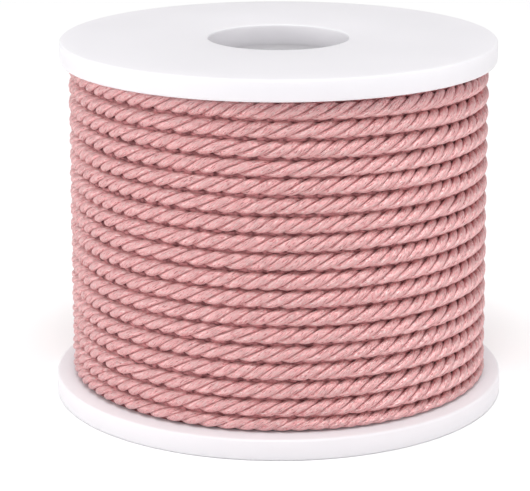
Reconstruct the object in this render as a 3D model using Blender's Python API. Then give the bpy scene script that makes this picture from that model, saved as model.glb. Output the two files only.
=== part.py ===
"""A plastic spool wound with twisted rayon cord, at its real size, in metres, +Z up.

The origin is the centre of the spool's base, on the surface that it stands on.
Each object is one sub-part: two flanges, the hub tube between them, and the wound cord.
"""

import math

import bmesh
import bpy

MM = 0.001

# Spool
SPOOL_HEIGHT = 60.0 * MM
UPPER_FLANGE_RADIUS = 36.0 * MM
LOWER_FLANGE_RADIUS = 37.7 * MM
FLANGE_THICKNESS = 3.5 * MM
RIM_ROUND = 0.4 * MM
LIP_ROUND = 0.3 * MM
BORE_RADIUS = 11.6 * MM
HUB_WALL = 2.0 * MM
PIECE_GAP = 0.3 * MM

# Wound cord
CORD_DIAMETER = 3.0 * MM
TURN_PITCH = 2.96 * MM
WOUND_RADIUS_TOP = 34.6 * MM
WOUND_RADIUS_BOTTOM = 35.0 * MM
GROOVE_DEPTH = 0.95 * MM

# Where a flange leaves a turn less than the least room, the turn sinks under its neighbour
FIRST_TURN_ANGLE = math.radians(-125.0)
LEAST_ROOM = 1.5 * MM
DIP_DEPTH = 3.0 * MM
DIP_EASE = 0.8

# Facets
SPOOL_SEGMENTS = 64
RIM_STEPS = 3
LIP_STEPS = 2
WOUND_SEGMENTS = 48
# Heights across one turn where the wound surface has a line of points, as shares of the pitch
TURN_LEVELS = (-0.5, -0.34, -0.12, 0.12, 0.34)
MERGE_DISTANCE = 0.02 * MM

# Worked out from the sizes above
CORD_RADIUS = CORD_DIAMETER / 2
HUB_RADIUS = BORE_RADIUS + HUB_WALL
LOWER_FACE = FLANGE_THICKNESS
UPPER_FACE = SPOOL_HEIGHT - FLANGE_THICKNESS
HIGHEST_TURN = UPPER_FACE - CORD_RADIUS

WHITE_PLASTIC = ("white_plastic", (0.86, 0.85, 0.87, 1.0), 0.35)
ROSE_RAYON = ("rose_rayon", (0.70, 0.38, 0.38, 1.0), 0.55)


def clear_scene():
    for thing in list(bpy.data.objects):
        bpy.data.objects.remove(thing)


def material(name, colour, roughness):
    made = bpy.data.materials.new(name)
    made.use_nodes = True
    shader = made.node_tree.nodes["Principled BSDF"]
    shader.inputs["Base Color"].default_value = colour
    shader.inputs["Roughness"].default_value = roughness
    shader.inputs["Metallic"].default_value = 0.0
    made.diffuse_color = colour
    return made


def solid_object(name, points, faces, finish):
    """A named object with outward faces, its coinciding points joined."""
    mesh = bpy.data.meshes.new(name)
    mesh.from_pydata(points, [], faces)
    shape = bmesh.new()
    shape.from_mesh(mesh)
    bmesh.ops.remove_doubles(shape, verts=shape.verts, dist=MERGE_DISTANCE)
    bmesh.ops.dissolve_degenerate(shape, edges=shape.edges, dist=MERGE_DISTANCE / 4)
    bmesh.ops.recalc_face_normals(shape, faces=shape.faces)
    shape.to_mesh(mesh)
    shape.free()
    mesh.shade_smooth()
    mesh.set_sharp_from_angle(angle=math.radians(40))
    mesh.materials.append(finish)
    made = bpy.data.objects.new(name, mesh)
    bpy.context.scene.collection.objects.link(made)
    return made


def corner_arc(centre, radius, start, end, steps):
    """Points (radius from the axis, height) on an arc; the angles are in degrees."""
    points = []
    for step in range(steps + 1):
        angle = math.radians(start + (end - start) * step / steps)
        points.append((centre[0] + radius * math.cos(angle), centre[1] + radius * math.sin(angle)))
    return points


def turned_ring(name, outline, finish):
    """A ring turned about the Z axis from a closed outline of (radius, height) points."""
    count = len(outline)
    points = []
    faces = []
    for segment in range(SPOOL_SEGMENTS):
        angle = math.tau * segment / SPOOL_SEGMENTS
        following = (segment + 1) % SPOOL_SEGMENTS
        for place, (radius, height) in enumerate(outline):
            after = (place + 1) % count
            points.append((radius * math.cos(angle), radius * math.sin(angle), height))
            faces.append(
                (
                    segment * count + place,
                    following * count + place,
                    following * count + after,
                    segment * count + after,
                )
            )
    return solid_object(name, points, faces, finish)


def flange_outline(outer_radius, bottom, lip_on_top):
    """A flange's section: rounded rim corners, and a rounded lip where the bore opens outwards."""
    top = bottom + FLANGE_THICKNESS
    rim_centre = outer_radius - RIM_ROUND
    lip_centre = BORE_RADIUS + LIP_ROUND
    outline = corner_arc((rim_centre, bottom + RIM_ROUND), RIM_ROUND, -90, 0, RIM_STEPS)
    outline += corner_arc((rim_centre, top - RIM_ROUND), RIM_ROUND, 0, 90, RIM_STEPS)
    if lip_on_top:
        outline += corner_arc((lip_centre, top - LIP_ROUND), LIP_ROUND, 90, 180, LIP_STEPS)
        outline += [(BORE_RADIUS, bottom)]
    else:
        outline += [(BORE_RADIUS, top)]
        outline += corner_arc((lip_centre, bottom + LIP_ROUND), LIP_ROUND, 180, 270, LIP_STEPS)
    return outline


def build_spool():
    plastic = material(*WHITE_PLASTIC)
    turned_ring("lower_flange", flange_outline(LOWER_FLANGE_RADIUS, 0.0, False), plastic)
    turned_ring("upper_flange", flange_outline(UPPER_FLANGE_RADIUS, UPPER_FACE, True), plastic)
    tube_bottom = LOWER_FACE + PIECE_GAP
    tube_top = UPPER_FACE - PIECE_GAP
    tube = [
        (BORE_RADIUS, tube_bottom),
        (HUB_RADIUS, tube_bottom),
        (HUB_RADIUS, tube_top),
        (BORE_RADIUS, tube_top),
    ]
    turned_ring("hub_tube", tube, plastic)


def turn_edges(turn):
    """The heights between which a turn lies: its neighbours' edges, or a flange where that comes first."""
    middle = HIGHEST_TURN - TURN_PITCH * turn
    top = min(middle + TURN_PITCH / 2, UPPER_FACE)
    bottom = max(middle - TURN_PITCH / 2, LOWER_FACE)
    return top, bottom


def crest_radius(top, bottom):
    """The outer radius of a turn that lies between two heights."""
    share = (UPPER_FACE - (top + bottom) / 2) / (UPPER_FACE - LOWER_FACE)
    outer = WOUND_RADIUS_TOP + (WOUND_RADIUS_BOTTOM - WOUND_RADIUS_TOP) * share
    lost = max(LEAST_ROOM - (top - bottom), 0.0) / LEAST_ROOM
    return outer - DIP_DEPTH * lost**DIP_EASE


def wound_radius(height, round_share):
    """The winding's outer radius at a height, that share of a turn round from the first turn."""
    row = math.floor((HIGHEST_TURN + TURN_PITCH / 2 - height) / TURN_PITCH - round_share)
    top, bottom = turn_edges(row + round_share)
    across = (2 * height - top - bottom) / (top - bottom)
    fall = CORD_RADIUS * (1 - math.sqrt(max(1 - across**2, 0.0)))
    return crest_radius(top, bottom) - min(fall, GROOVE_DEPTH)


def build_winding():
    """The wound cord: a ring whose outer wall has one ridge that runs round from top to bottom."""
    low = LOWER_FACE + PIECE_GAP
    high = UPPER_FACE - PIECE_GAP
    inner = HUB_RADIUS + PIECE_GAP
    levels_per_turn = len(TURN_LEVELS)
    first_row = -3
    rows = math.ceil((high - low) / TURN_PITCH) + 6
    level_count = rows * levels_per_turn
    points = []
    faces = []
    for segment in range(WOUND_SEGMENTS):
        share = segment / WOUND_SEGMENTS
        angle = FIRST_TURN_ANGLE + math.tau * share
        for level in range(level_count):
            row = first_row + level // levels_per_turn
            offset = TURN_LEVELS[level % levels_per_turn]
            height = HIGHEST_TURN - TURN_PITCH * (row + share + offset)
            height = min(max(height, low), high)
            radius = wound_radius(height, share)
            points.append((radius * math.cos(angle), radius * math.sin(angle), height))
    for segment in range(WOUND_SEGMENTS):
        last_column = segment == WOUND_SEGMENTS - 1
        following = 0 if last_column else segment + 1
        step_down = levels_per_turn if last_column else 0
        for level in range(level_count - 1):
            across = min(level + step_down, level_count - 1)
            below = min(level + 1 + step_down, level_count - 1)
            if across == below:
                continue
            faces.append(
                (
                    segment * level_count + level,
                    segment * level_count + level + 1,
                    following * level_count + below,
                    following * level_count + across,
                )
            )
    inner_start = len(points)
    for segment in range(WOUND_SEGMENTS):
        angle = FIRST_TURN_ANGLE + math.tau * segment / WOUND_SEGMENTS
        for height in (high, low):
            points.append((inner * math.cos(angle), inner * math.sin(angle), height))
    for segment in range(WOUND_SEGMENTS):
        following = (segment + 1) % WOUND_SEGMENTS
        inner_top = inner_start + 2 * segment
        next_top = inner_start + 2 * following
        outer_top = segment * level_count
        next_outer_top = following * level_count
        outer_low = outer_top + level_count - 1
        next_outer_low = next_outer_top + level_count - 1
        faces.append((outer_top, next_outer_top, next_top, inner_top))
        faces.append((outer_low, inner_top + 1, next_top + 1, next_outer_low))
        faces.append((inner_top, next_top, next_top + 1, inner_top + 1))
    solid_object("wound_cord", points, faces, material(*ROSE_RAYON))


clear_scene()
build_spool()
build_winding()
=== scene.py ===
"""The looks of a plastic spool wound with twisted rayon cord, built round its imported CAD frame.

All sizes are in metres, +Z up, with the origin at the centre of the spool's base.
The side that the picture shows faces -Y.
"""

import math

import bpy
import numpy as np
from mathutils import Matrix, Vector


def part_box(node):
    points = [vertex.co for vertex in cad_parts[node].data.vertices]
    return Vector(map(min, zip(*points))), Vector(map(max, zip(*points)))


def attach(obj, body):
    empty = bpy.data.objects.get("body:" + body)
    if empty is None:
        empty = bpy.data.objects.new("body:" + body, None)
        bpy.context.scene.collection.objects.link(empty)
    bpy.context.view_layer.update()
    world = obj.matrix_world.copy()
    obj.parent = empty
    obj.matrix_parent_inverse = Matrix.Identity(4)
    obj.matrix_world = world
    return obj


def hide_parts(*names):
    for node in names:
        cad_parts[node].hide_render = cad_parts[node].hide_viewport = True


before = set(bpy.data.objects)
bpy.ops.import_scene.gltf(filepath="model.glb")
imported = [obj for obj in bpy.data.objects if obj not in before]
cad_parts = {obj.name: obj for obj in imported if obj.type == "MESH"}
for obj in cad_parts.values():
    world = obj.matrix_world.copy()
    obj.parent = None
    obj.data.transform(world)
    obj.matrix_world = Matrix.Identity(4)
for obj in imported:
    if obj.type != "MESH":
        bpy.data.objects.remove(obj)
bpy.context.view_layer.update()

MM = 0.001
BODY = "root"

# Spool, from the frame where it says so
UPPER_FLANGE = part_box("upper_flange")
LOWER_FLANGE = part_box("lower_flange")
SPOOL_HEIGHT = UPPER_FLANGE[1].z
UPPER_FACE = UPPER_FLANGE[0].z
LOWER_FACE = LOWER_FLANGE[1].z
UPPER_FLANGE_RADIUS = UPPER_FLANGE[1].x
LOWER_FLANGE_RADIUS = LOWER_FLANGE[1].x
HUB_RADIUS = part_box("hub_tube")[1].x
BORE_RADIUS = 11.6 * MM
RIM_ROUND = 0.4 * MM
LIP_ROUND = 0.3 * MM
CORNER_STEPS = 6
TURNED_SEGMENTS = 192
TURNED_SMOOTH_ANGLE = 30

# Winding, as the CAD winds it
CORD_RADIUS = 1.5 * MM
TURN_PITCH = 2.96 * MM
WOUND_RADIUS_TOP = 34.6 * MM
WOUND_RADIUS_BOTTOM = 35.0 * MM
FIRST_TURN_ANGLE = math.radians(-125.0)
HIGHEST_TURN = UPPER_FACE - CORD_RADIUS
LEAST_ROOM = 1.5 * MM
DIP_DEPTH = 3.0 * MM
DIP_EASE = 0.8

# Where the outer layer starts and ends, in turns below the highest one
LAYER_START = -0.6
LAYER_END = 17.65
FLANGE_CLEARANCE = 0.05 * MM

# The layer beneath: how deep its ridges lie, how high they are, and its gap to the plastic
UNDER_DEPTH = 1.28 * MM
UNDER_RIDGE = 1.3 * MM
JOIN_GAP = 0.05 * MM
UNDER_SEGMENTS = 96
UNDER_LEVELS = 160
UNDER_SMOOTH_ANGLE = 50

# Strands of the cord: the length of one twist, the helix's radius, and the section's half sizes
STRANDS = 3
STRAND_LAY = 8.85 * MM
STRAND_HELIX = 0.76 * MM
STRAND_WIDE = 0.65 * MM
STRAND_THICK = 0.61 * MM
# The power of the section's superellipse; a plain ellipse has 2
STRAND_SQUARENESS = 2.15
STRAND_STEPS_PER_LAY = 19
STRAND_SIDES = 12
# The part of a strand's section that can show, in degrees to each side of its outermost line
STRAND_SHOWS = 130.0
# How far round the cord the first strand starts, as a share of a twist
FIRST_LOBE = 0.3
# A flange squeezes the row beside it, whose strands flatten by this power of the squeeze
SQUEEZE_EASE = 0.5

# Unevenness of hand-wound cord: how far, with the lay in twists and the thickness as a share,
# and over what lengths along the cord
WANDER_HEIGHT = 0.15 * MM
WANDER_RADIUS = 0.10 * MM
WANDER_LAY = 0.35
WANDER_THICKNESS = 0.06
WANDER_LENGTHS = (61 * MM, 23 * MM, 11 * MM)
SPARE_KNOTS = 3
SEED = 7

# On the right of the side that shows the cord is plumper, so that its rows nearly touch
PLUMP_SHARE = 0.06
PLUMP_ANGLE = math.radians(-42.0)
PLUMP_NARROWNESS = 4

# Noise along a strand: the size of its grain, its slant in degrees, how many grains along it starts,
# and its detail and waviness
BUNDLES = dict(along=1.7 * MM, across=0.26 * MM, slant=3.0, start=0.0, detail=1.0, waves=0.3)
FILAMENTS = dict(along=0.65 * MM, across=0.135 * MM, slant=-4.0, start=31.0, detail=1.0, waves=0.5)
FLECKS = dict(along=0.55 * MM, across=0.13 * MM, slant=8.0, start=77.0, detail=0.0, waves=0.4)
NOISE_ROUGHNESS = 0.6

# How much each noise adds to the relief of a strand
BUNDLE_RELIEF = 0.4
FILAMENT_RELIEF = 0.6
FLECK_RELIEF = 0.5
STRAND_BUMP = 0.30 * MM

# Colours that follow a share: each step is the share, then red, green and blue
FILAMENT_COLOURS = [
    (0.36, 0.58, 0.22, 0.23),
    (0.44, 0.99, 0.51, 0.52),
    (0.60, 1.00, 0.69, 0.68),
]
# Painted glints: pale flecks of this colour, mixed in by these shares of the fleck noise
GLINT_COLOUR = (1.0, 0.80, 0.78, 1.0)
GLINT_SHARES = [
    (0.58, 0.0, 0.0, 0.0),
    (0.68, 0.9, 0.9, 0.9),
]
# Painted light across a strand, from the crease above it to the one below it: painted shade in both creases,
# and a painted highlight near the first
PAINTED_CREASE_SHADE_AND_HIGHLIGHT = [
    (0.00, 0.84, 0.72, 0.73),
    (0.07, 0.96, 0.92, 0.92),
    (0.12, 1.00, 1.00, 1.00),
    (0.21, 1.00, 1.00, 1.00),
    (0.30, 0.84, 0.77, 0.77),
    (0.74, 0.82, 0.74, 0.74),
    (0.84, 0.96, 0.94, 0.94),
    (0.93, 0.92, 0.87, 0.88),
    (1.00, 0.76, 0.62, 0.63),
]
# How far round from a strand's outermost line its creases lie, and how far the bundles move its painted
# shade and highlight
CREASE_PLACE = 1.10 * MM
PAINTED_SHADE_UNEVENNESS = 0.20
NOISE_MIDDLE = 0.5
# Painted shade: the layer beneath is coloured darker and redder than the strands of the same cord
UNDER_SHADE_COLOURS = [
    (0.38, 0.20, 0.06, 0.065),
    (0.62, 0.62, 0.26, 0.27),
]
FLANGE_TONES = [
    (0.0, 0.81, 0.795, 0.825),
    (1.0, 0.84, 0.825, 0.855),
]
# Painted light: the hub's plastic, seen down the bore, is a lighter copy of the flanges' white
BORE_LIT_TONES = [
    (0.0, 0.88, 0.865, 0.89),
    (1.0, 0.90, 0.885, 0.91),
]

# Surfaces, by the names of the shader's sockets
RAYON_SURFACE = {
    "Roughness": 0.42,
    "Metallic": 0.55,
    "Sheen Weight": 0.45,
    "Sheen Roughness": 0.25,
    "Sheen Tint": (1.0, 0.82, 0.82, 1.0),
}
UNDER_SURFACE = {"Roughness": 0.7}
PLASTIC_SURFACE = {
    "Subsurface Weight": 0.40,
    "Subsurface Radius": (4 * MM, 4 * MM, 4 * MM),
    "Subsurface Scale": 1.0,
}
FLOOR_SURFACE = {
    "Base Color": (0.98, 0.98, 0.98, 1.0),
    "Roughness": 0.8,
    "Specular IOR Level": 0.1,
}
PLASTIC_ROUGHNESS_LEAST = 0.40
PLASTIC_ROUGHNESS_MOST = 0.48

# Noise in a piece's own space, in grains per metre, and the height of its bumps
UNDER_GRAIN = 1100.0
UNDER_BUMP = 0.4 * MM
PLASTIC_FLOW = 60.0
PLASTIC_GRAIN = 1800.0
PLASTIC_BUMP = 0.1 * MM
PLASTIC_BUMP_STRENGTH = 0.08
PLAIN_DETAIL = 2.0

# Stage and light: each light's name, place, diameter and power in watts
FLOOR_REACH = 6.0
WORLD_COLOUR = (1.0, 0.99, 1.0, 1.0)
WORLD_STRENGTH = 0.38
LIGHTS = [
    ("front", (0.0, -0.98, 2.22), 1.40, 36.0),
    ("low_front", (0.0, -1.40, 0.56), 0.80, 2.1),
    ("back", (0.0, 1.00, 2.20), 1.40, 9.5),
    ("left", (-1.06, -0.09, 0.20), 0.50, 3.7),
    ("right", (1.06, -0.09, 0.20), 0.50, 2.0),
]

# Camera, from the spool's outlines in the picture: its pitch is in radians, and its focal length and
# centre are in the picture's pixels
IMAGE_WIDTH = 530
CAMERA_BACK = 362.15 * MM
CAMERA_HEIGHT = 125.62 * MM
CAMERA_PITCH = 0.27272
FOCAL_PIXELS = 2227.3
CENTRE_COLUMN = 278.54
SENSOR_WIDTH = 36.0
CLIP_START = 0.01
CLIP_END = 50.0


def turn_edges(turn):
    """The heights between which a row lies: its neighbours' edges, or a flange where that comes first."""
    middle = HIGHEST_TURN - TURN_PITCH * turn
    top = np.minimum(middle + TURN_PITCH / 2, UPPER_FACE)
    bottom = np.maximum(middle - TURN_PITCH / 2, LOWER_FACE)
    return top, bottom


def turn_dip(room):
    """How far a row sinks under its neighbour, where a flange leaves it less than the least room."""
    lost = np.clip((LEAST_ROOM - room) / LEAST_ROOM, 0.0, 1.0)
    return DIP_DEPTH * lost**DIP_EASE


def wound_radius(height):
    """How far out the winding reaches at a height."""
    share = (UPPER_FACE - height) / (UPPER_FACE - LOWER_FACE)
    return WOUND_RADIUS_TOP + (WOUND_RADIUS_BOTTOM - WOUND_RADIUS_TOP) * share


def wander(draws, length, count):
    """A smooth uneven line of about -1 to 1: drawn values at a few spacings, eased into each other."""
    along = np.linspace(0.0, length, count)
    total = np.zeros(count)
    for wave in WANDER_LENGTHS:
        knots = int(length / wave) + SPARE_KNOTS
        values = draws.uniform(-1.0, 1.0, knots)
        place = along / wave
        low = np.minimum(place.astype(int), knots - 2)
        ease = place - low
        ease = ease * ease * (3 - 2 * ease)
        total += values[low] * (1 - ease) + values[low + 1] * ease
    return total / len(WANDER_LENGTHS)


def cord_line():
    """Along the outer layer: the cord's centres, outward and up directions, lay angles and fullness.

    The up direction is shorter than 1 where a flange squeezes the row.
    """
    draws = np.random.default_rng(SEED)
    turn_length = math.tau * (WOUND_RADIUS_TOP - CORD_RADIUS)
    length = turn_length * (LAYER_END - LAYER_START)
    lays = length / STRAND_LAY
    count = int(lays * STRAND_STEPS_PER_LAY)
    turn = np.linspace(LAYER_START, LAYER_END, count)
    angle = FIRST_TURN_ANGLE + math.tau * turn
    top, bottom = turn_edges(turn)
    room = top - bottom
    radius = wound_radius((top + bottom) / 2) - STRAND_HELIX - STRAND_THICK - turn_dip(room)
    radius += WANDER_RADIUS * wander(draws, length, count)
    height = (top + bottom) / 2 + WANDER_HEIGHT * wander(draws, length, count)
    squeeze = np.maximum(room, LEAST_ROOM) / TURN_PITCH
    centre = np.stack([radius * np.cos(angle), radius * np.sin(angle), height], 1)
    outward = np.stack([np.cos(angle), np.sin(angle), np.zeros(count)], 1)
    forward = np.gradient(centre, axis=0)
    forward /= np.linalg.norm(forward, axis=1)[:, None]
    up = np.cross(outward, forward)
    up /= np.linalg.norm(up, axis=1)[:, None]
    lay_angle = math.tau * (np.linspace(0.0, lays, count) + FIRST_LOBE)
    lay_angle += math.tau * WANDER_LAY * wander(draws, length, count)
    fullness = 1 + WANDER_THICKNESS * wander(draws, length, count)
    fullness += PLUMP_SHARE * np.maximum(np.cos(angle - PLUMP_ANGLE), 0.0) ** PLUMP_NARROWNESS
    return centre, outward, up * squeeze[:, None], lay_angle, fullness


def mesh_piece(name, points, faces, finish, replaced=(), smooth_angle=None):
    """A smooth-shaded piece that rides on the body; edges above the smooth angle, in degrees, stay sharp."""
    mesh = bpy.data.meshes.new(name)
    mesh.from_pydata(points, [], faces)
    mesh.shade_smooth()
    if smooth_angle:
        mesh.set_sharp_from_angle(angle=math.radians(smooth_angle))
    mesh.materials.append(finish)
    piece = bpy.data.objects.new(name, mesh)
    bpy.context.scene.collection.objects.link(piece)
    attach(piece, BODY)
    if replaced:
        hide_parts(*replaced)
    return piece


def section_angles():
    """Angles round a strand's section: one point on its hidden inner side, the rest where it shows."""
    shown = np.linspace(-STRAND_SHOWS, STRAND_SHOWS, STRAND_SIDES - 1)
    return np.radians(np.concatenate([[-180.0], shown]))


def squared(value):
    """A sine or cosine bent so that an ellipse becomes the strand's superellipse."""
    return np.sign(value) * abs(value) ** (2 / STRAND_SQUARENESS)


def strand_piece(number, line, finish):
    """One strand: a tube round a helix on the cord's line, with a map of metres along and round it."""
    centre, outward, up, lay_angle, fullness = line
    count = len(centre)
    phase = lay_angle + math.tau * number / STRANDS
    toward = outward * np.cos(phase)[:, None] + up * np.sin(phase)[:, None]
    middle = centre + toward * (STRAND_HELIX * fullness)[:, None]
    forward = np.gradient(middle, axis=0)
    step = np.linalg.norm(forward, axis=1)
    forward /= step[:, None]
    away = toward - forward * (toward * forward).sum(1)[:, None]
    away /= np.linalg.norm(away, axis=1)[:, None]
    side = np.cross(forward, away)
    sides = section_angles()
    across = squared(np.sin(sides))
    outer = squared(np.cos(sides))
    wide = (STRAND_WIDE * fullness)[:, None, None]
    thick = (STRAND_THICK * fullness)[:, None, None]
    rings = middle[:, None, :] + away[:, None, :] * thick * outer[None, :, None]
    rings = rings + side[:, None, :] * wide * across[None, :, None]
    squeeze = np.linalg.norm(up, axis=1)[:, None]
    flatten = np.where(squeeze < 1, squeeze**SQUEEZE_EASE, 1)
    middle_height = centre[:, 2, None]
    height = middle_height + (rings[:, :, 2] - middle_height) * flatten
    rings[:, :, 2] = np.clip(height, LOWER_FACE + FLANGE_CLEARANCE, UPPER_FACE - FLANGE_CLEARANCE)
    points = rings.reshape(-1, 3).tolist()
    ring = (np.arange(count - 1) * STRAND_SIDES)[:, None]
    next_ring = ring + STRAND_SIDES
    place = np.arange(STRAND_SIDES)[None, :]
    after = (place + 1) % STRAND_SIDES
    walls = np.stack([ring + place, ring + after, next_ring + after, next_ring + place], -1)
    first_cap = list(range(STRAND_SIDES))[::-1]
    last_cap = list(range((count - 1) * STRAND_SIDES, count * STRAND_SIDES))
    faces = walls.reshape(-1, 4).tolist() + [first_cap, last_cap]
    piece = mesh_piece(f"cord_strand_{number + 1}", points, faces, finish)
    map_strand(piece.data, count, np.concatenate([[0.0], np.cumsum(step[1:])]))


def map_strand(mesh, count, along):
    """A map of the strand: metres along it and round it, its seam on the side towards the cord's core."""
    layer = mesh.uv_layers.new(name="Strand")
    angles = np.append(section_angles(), math.pi)
    round_it = angles * (STRAND_WIDE + STRAND_THICK) / 2
    start = np.repeat(along[:-1, None], STRAND_SIDES, 1)
    end = np.repeat(along[1:, None], STRAND_SIDES, 1)
    here = np.repeat(round_it[None, :-1], count - 1, 0)
    there = np.repeat(round_it[None, 1:], count - 1, 0)
    corners = [(start, here), (start, there), (end, there), (end, here)]
    walls = np.stack([np.stack(corner, -1) for corner in corners], 2).reshape(-1, 2)
    caps = np.zeros((2 * STRAND_SIDES, 2))
    layer.uv.foreach_set("vector", np.concatenate([walls, caps]).astype(np.float32).ravel())


def ring_faces(columns, count):
    """Faces of a ring made of columns of points, each column a closed outline of that many points."""
    faces = []
    for column in range(columns):
        here = column * count
        there = (column + 1) % columns * count
        for place in range(count):
            after = (place + 1) % count
            faces.append((here + place, there + place, there + after, here + after))
    return faces


def turned_piece(name, outline, finish, replaced):
    """A ring turned about the Z axis from a closed outline of (radius, height) points."""
    points = []
    for segment in range(TURNED_SEGMENTS):
        angle = math.tau * segment / TURNED_SEGMENTS
        for radius, height in outline:
            points.append((radius * math.cos(angle), radius * math.sin(angle), height))
    faces = ring_faces(TURNED_SEGMENTS, len(outline))
    mesh_piece(name, points, faces, finish, replaced, TURNED_SMOOTH_ANGLE)


def corner_arc(centre, radius, start, end):
    """Points (radius from the axis, height) on an arc; the angles are in degrees."""
    points = []
    for angle in np.radians(np.linspace(start, end, CORNER_STEPS + 1)):
        points.append((centre[0] + radius * math.cos(angle), centre[1] + radius * math.sin(angle)))
    return points


def flange_outline(outer_radius, bottom, top, lip_on_top):
    """A flange's section: rounded rim corners, and a rounded lip where the bore opens outwards."""
    rim = outer_radius - RIM_ROUND
    lip = BORE_RADIUS + LIP_ROUND
    outline = corner_arc((rim, bottom + RIM_ROUND), RIM_ROUND, -90, 0)
    outline += corner_arc((rim, top - RIM_ROUND), RIM_ROUND, 0, 90)
    if lip_on_top:
        outline += corner_arc((lip, top - LIP_ROUND), LIP_ROUND, 90, 180)
        outline += [(BORE_RADIUS, bottom)]
    else:
        outline += [(BORE_RADIUS, top)]
        outline += corner_arc((lip, bottom + LIP_ROUND), LIP_ROUND, 180, 270)
    return outline


def build_spool():
    """Two flanges and the hub tube, whose inside shows through the bore; the hub's plastic is painted
    lighter than the flanges' as light inside the bore.
    """
    plastic = moulded_plastic("white_moulded_plastic", FLANGE_TONES)
    lit_bore_plastic = moulded_plastic("white_bore_plastic", BORE_LIT_TONES)
    upper = flange_outline(UPPER_FLANGE_RADIUS, UPPER_FACE, SPOOL_HEIGHT, True)
    lower = flange_outline(LOWER_FLANGE_RADIUS, 0.0, LOWER_FACE, False)
    tube = [
        (BORE_RADIUS, LOWER_FACE),
        (HUB_RADIUS, LOWER_FACE),
        (HUB_RADIUS, UPPER_FACE),
        (BORE_RADIUS, UPPER_FACE),
    ]
    turned_piece("spool_top", upper, plastic, ["upper_flange"])
    turned_piece("spool_base", lower, plastic, ["lower_flange"])
    turned_piece("spool_hub", tube, lit_bore_plastic, ["hub_tube"])


def build_under_layer(finish):
    """The layer beneath: a ring whose ridges lie behind the outer layer's grooves, between the flanges."""
    low = LOWER_FACE + JOIN_GAP
    high = UPPER_FACE - JOIN_GAP
    inner = HUB_RADIUS + JOIN_GAP
    points = []
    for segment in range(UNDER_SEGMENTS):
        share = segment / UNDER_SEGMENTS
        angle = FIRST_TURN_ANGLE + math.tau * share
        for level in range(UNDER_LEVELS):
            height = low + (high - low) * level / (UNDER_LEVELS - 1)
            row = (HIGHEST_TURN - height) / TURN_PITCH - share
            radius = wound_radius(height) - UNDER_DEPTH - UNDER_RIDGE * math.cos(math.pi * row) ** 2
            points.append((radius * math.cos(angle), radius * math.sin(angle), height))
        for height in (high, low):
            points.append((inner * math.cos(angle), inner * math.sin(angle), height))
    faces = ring_faces(UNDER_SEGMENTS, len(points) // UNDER_SEGMENTS)
    replaced = ["wound_cord"]
    mesh_piece("cord_under_layer", points, faces, finish, replaced, UNDER_SMOOTH_ANGLE)


def build_cord():
    """The outer layer's three strands, and the layer beneath them."""
    finish = rayon()
    line = cord_line()
    for number in range(STRANDS):
        strand_piece(number, line, finish)
    build_under_layer(rayon_shadow())


def shader_material(name):
    """A new material, with its node tree and its shader."""
    made = bpy.data.materials.new(name)
    made.use_nodes = True
    return made, made.node_tree, made.node_tree.nodes["Principled BSDF"]


def set_sockets(shader, surface):
    """Values that are the same all over a surface, set on the shader itself."""
    for name, value in surface.items():
        shader.inputs[name].default_value = value


def add_node(tree, kind, inputs=None, **settings):
    """A new node; an input is either another node's output, which is linked, or a value."""
    node = tree.nodes.new(kind)
    for key, value in settings.items():
        setattr(node, key, value)
    for key, value in (inputs or {}).items():
        if hasattr(value, "is_output"):
            tree.links.new(value, node.inputs[key])
        else:
            node.inputs[key].default_value = value
    return node


def stretched_noise(tree, place, along, across, slant, start, detail, waves):
    """Noise drawn out along a strand."""
    mapping = {
        "Vector": place,
        "Location": (start * along, 0.0, 0.0),
        "Rotation": (0.0, 0.0, math.radians(slant)),
        "Scale": (along, across, 1.0),
    }
    mapped = add_node(tree, "ShaderNodeMapping", mapping, vector_type="TEXTURE")
    grain = {
        "Vector": mapped.outputs["Vector"],
        "Scale": 1.0,
        "Detail": detail,
        "Roughness": NOISE_ROUGHNESS,
        "Distortion": waves,
    }
    return add_node(tree, "ShaderNodeTexNoise", grain).outputs["Fac"]


def plain_noise(tree, scale):
    """Noise in the piece's own space, the same in every direction."""
    place = add_node(tree, "ShaderNodeTexCoord").outputs["Object"]
    grain = {"Vector": place, "Scale": scale, "Detail": PLAIN_DETAIL}
    return add_node(tree, "ShaderNodeTexNoise", grain).outputs["Fac"]


def colour_ramp(tree, share, steps):
    """A colour that follows a share, from a short list of (share, red, green, blue) steps."""
    node = add_node(tree, "ShaderNodeValToRGB", {"Fac": share})
    ramp = node.color_ramp
    while len(ramp.elements) < len(steps):
        # Any place will do, because each step's place is set below
        ramp.elements.new(0.5)
    for element, (position, red, green, blue) in zip(ramp.elements, steps):
        element.position = position
        element.color = (red, green, blue, 1.0)
    return node.outputs["Color"]


def mixed(tree, first, second, share, blend="MIX"):
    """Two colours blended by a share, which is a number or varies over the surface."""
    # The Mix node's colour sockets are its inputs 6 and 7 and its output 2
    inputs = {0: share, 6: first, 7: second}
    return add_node(tree, "ShaderNodeMix", inputs, data_type="RGBA", blend_type=blend).outputs[2]


def calculated(tree, operation, first, second):
    """The result of one operation on two values, which are numbers or vary over the surface."""
    return add_node(tree, "ShaderNodeMath", {0: first, 1: second}, operation=operation).outputs[0]


def bump_surface(tree, shader, height, distance, strength=1.0):
    """Relief that the light shows on a shader's surface."""
    bump = add_node(tree, "ShaderNodeBump", {"Height": height, "Strength": strength, "Distance": distance})
    tree.links.new(bump.outputs["Normal"], shader.inputs["Normal"])


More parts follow.
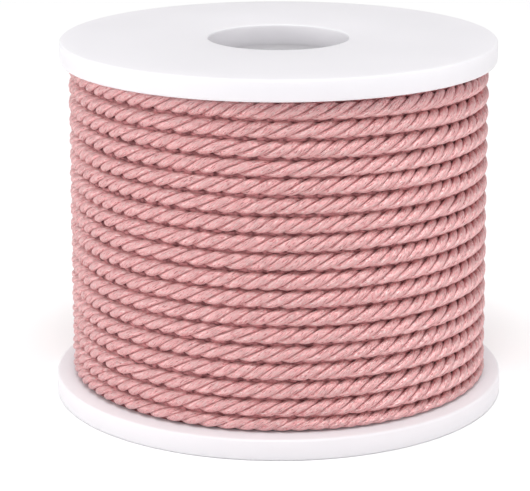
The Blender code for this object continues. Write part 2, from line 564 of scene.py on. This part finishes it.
def rayon():
    """Lustrous filaments along each strand, in relief and colour, with painted glints as pale flecks,
    painted shade in its creases and a painted highlight near its upper crease.
    """
    made, tree, shader = shader_material("rose_rayon_cord")
    place = add_node(tree, "ShaderNodeUVMap", uv_map="Strand").outputs["UV"]
    bundles = stretched_noise(tree, place, **BUNDLES)
    filaments = stretched_noise(tree, place, **FILAMENTS)
    flecks = stretched_noise(tree, place, **FLECKS)
    bundle_relief = calculated(tree, "MULTIPLY", bundles, BUNDLE_RELIEF)
    filament_relief = calculated(tree, "MULTIPLY", filaments, FILAMENT_RELIEF)
    fleck_relief = calculated(tree, "MULTIPLY", flecks, FLECK_RELIEF)
    streaks = calculated(tree, "ADD", bundle_relief, filament_relief)
    # Painted glints: pale flecks mixed into the strand's colour
    glint_shares = colour_ramp(tree, flecks, GLINT_SHARES)
    colours = mixed(tree, colour_ramp(tree, streaks, FILAMENT_COLOURS), GLINT_COLOUR, glint_shares)
    crossing = {
        "Value": add_node(tree, "ShaderNodeSeparateXYZ", {"Vector": place}).outputs["Y"],
        "From Min": -CREASE_PLACE,
        "From Max": CREASE_PLACE,
    }
    edge = add_node(tree, "ShaderNodeMapRange", crossing).outputs["Result"]
    unevenness = calculated(tree, "SUBTRACT", bundles, NOISE_MIDDLE)
    unevenness = calculated(tree, "MULTIPLY", unevenness, PAINTED_SHADE_UNEVENNESS)
    # Painted shade in the creases and a painted highlight near each strand's upper crease, multiplied into
    # its colour
    tones = colour_ramp(tree, calculated(tree, "ADD", edge, unevenness), PAINTED_CREASE_SHADE_AND_HIGHLIGHT)
    tree.links.new(mixed(tree, colours, tones, 1.0, "MULTIPLY"), shader.inputs["Base Color"])
    bump_surface(tree, shader, calculated(tree, "ADD", streaks, fleck_relief), STRAND_BUMP)
    set_sockets(shader, RAYON_SURFACE)
    return made


def rayon_shadow():
    """The layer beneath, which shows only between the rows, painted darker than the strands as shade."""
    made, tree, shader = shader_material("rose_rayon_under_shaded")
    grain = plain_noise(tree, UNDER_GRAIN)
    tree.links.new(colour_ramp(tree, grain, UNDER_SHADE_COLOURS), shader.inputs["Base Color"])
    bump_surface(tree, shader, grain, UNDER_BUMP)
    set_sockets(shader, UNDER_SURFACE)
    return made


def moulded_plastic(name, tones):
    """White plastic: a faint unevenness of tone and gloss over the moulded surface."""
    made, tree, shader = shader_material(name)
    flow = plain_noise(tree, PLASTIC_FLOW)
    gloss = {"Value": flow, "To Min": PLASTIC_ROUGHNESS_LEAST, "To Max": PLASTIC_ROUGHNESS_MOST}
    roughness = add_node(tree, "ShaderNodeMapRange", gloss).outputs["Result"]
    tree.links.new(colour_ramp(tree, flow, tones), shader.inputs["Base Color"])
    tree.links.new(roughness, shader.inputs["Roughness"])
    bump_surface(tree, shader, plain_noise(tree, PLASTIC_GRAIN), PLASTIC_BUMP, PLASTIC_BUMP_STRENGTH)
    set_sockets(shader, PLASTIC_SURFACE)
    return made


def build_stage():
    """A plain pale floor that runs on behind the spool."""
    mesh = bpy.data.meshes.new("floor")
    corners = [
        (-FLOOR_REACH, -FLOOR_REACH, 0),
        (FLOOR_REACH, -FLOOR_REACH, 0),
        (FLOOR_REACH, FLOOR_REACH, 0),
        (-FLOOR_REACH, FLOOR_REACH, 0),
    ]
    mesh.from_pydata(corners, [], [(0, 1, 2, 3)])
    made, _, shader = shader_material("pale_floor")
    set_sockets(shader, FLOOR_SURFACE)
    mesh.materials.append(made)
    floor = bpy.data.objects.new("floor", mesh)
    bpy.context.scene.collection.objects.link(floor)


def area_light(name, place, size, power):
    """A round soft light that points at the spool's middle."""
    light = bpy.data.lights.new(name, "AREA")
    light.shape = "DISK"
    light.size = size
    light.energy = power
    lamp = bpy.data.objects.new(name, light)
    bpy.context.scene.collection.objects.link(lamp)
    lamp.location = place
    direction = np.array((0.0, 0.0, SPOOL_HEIGHT / 2)) - np.array(place)
    lamp.rotation_mode = "QUATERNION"
    lamp.rotation_quaternion = Vector(direction).to_track_quat("-Z", "Y")


def build_light():
    """Plain soft studio light, with the view transform that the colours are set for."""
    world = bpy.data.worlds.new("studio")
    bpy.context.scene.world = world
    world.use_nodes = True
    background = world.node_tree.nodes["Background"]
    background.inputs["Color"].default_value = WORLD_COLOUR
    background.inputs["Strength"].default_value = WORLD_STRENGTH
    for name, place, size, power in LIGHTS:
        area_light(name, place, size, power)
    bpy.context.scene.view_settings.view_transform = "Standard"


def build_camera():
    """A camera at the picture's viewing angle."""
    data = bpy.data.cameras.new("camera")
    data.sensor_width = SENSOR_WIDTH
    data.lens = FOCAL_PIXELS * SENSOR_WIDTH / IMAGE_WIDTH
    data.shift_x = (IMAGE_WIDTH / 2 - CENTRE_COLUMN) / IMAGE_WIDTH
    data.clip_start = CLIP_START
    data.clip_end = CLIP_END
    camera = bpy.data.objects.new("camera", data)
    bpy.context.scene.collection.objects.link(camera)
    camera.location = (0.0, -CAMERA_BACK, CAMERA_HEIGHT)
    camera.rotation_euler = (math.pi / 2 - CAMERA_PITCH, 0.0, 0.0)
    bpy.context.scene.camera = camera


build_camera()
build_spool()
build_cord()
build_stage()
build_light()
